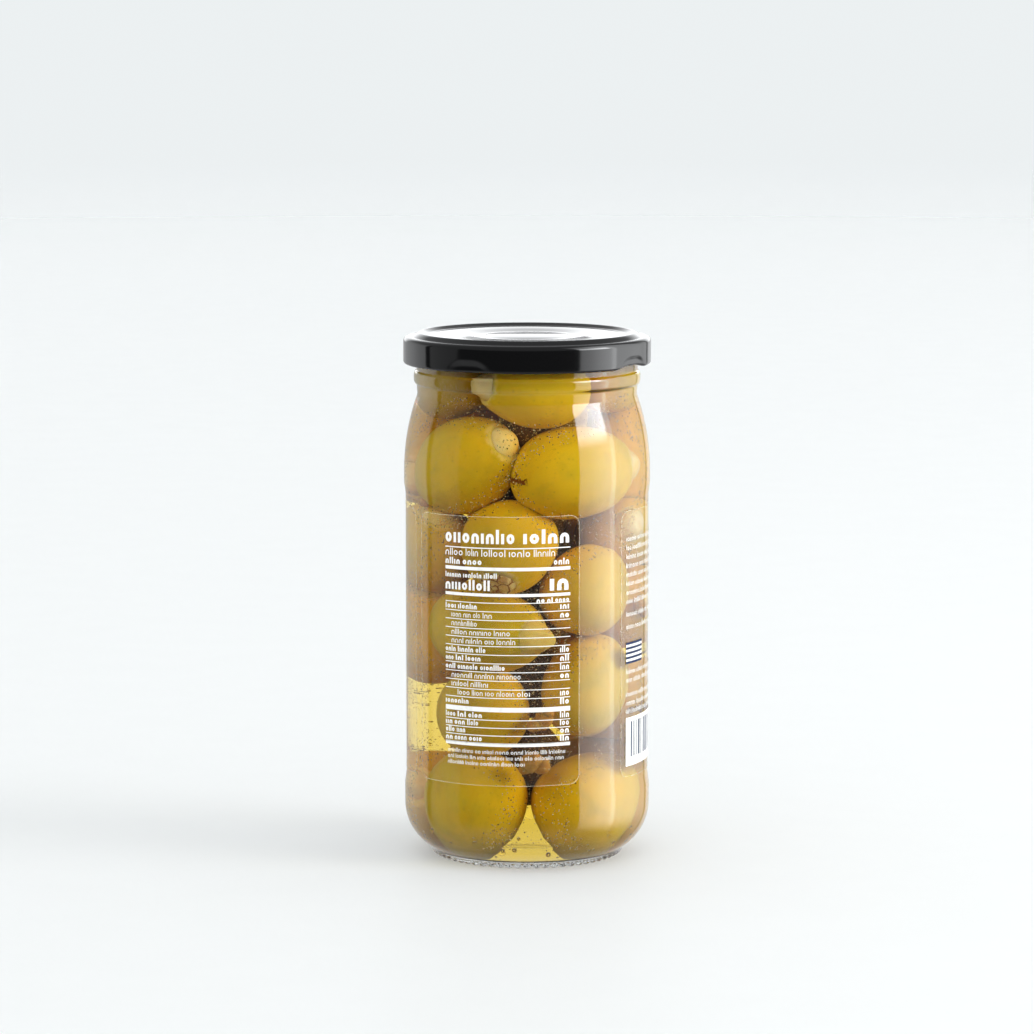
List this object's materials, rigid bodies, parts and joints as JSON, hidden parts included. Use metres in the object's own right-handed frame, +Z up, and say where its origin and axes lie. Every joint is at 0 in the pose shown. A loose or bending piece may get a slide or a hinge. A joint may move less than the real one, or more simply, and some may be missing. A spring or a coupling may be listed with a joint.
{
  "type": "jar of olives",
  "caption": "Shut round glass jar of large stuffed green olives in brine, with a black twist-off lid and clear film labels carrying plain white print.",
  "frame": {"origin": "middle of the ring on the base that the jar stands on", "axes": "+Z up along the jar's axis to the lid; -Y is the side with the small table label"},
  "size_m": [0.0664, 0.0664, 0.1413],
  "materials": {
    "glass": "clear moulded glass, glossy",
    "lid_paint": "gloss black lacquer on pressed steel",
    "label_film": "clear glossy film",
    "olive_skin": "smooth wet skin, golden green",
    "stuffing": "pale nut, soft and wet",
    "brine": "clear yellow liquid",
    "white_ink": "opaque white print",
    "navy_ink": "opaque dark blue print"
  },
  "bodies": {
    "root": {"jar": "glass", "lid": "lid_paint", "label_table": "label_film", "label_wrap": "label_film", "olives": "olive_skin"}
  },
  "joints": []
}
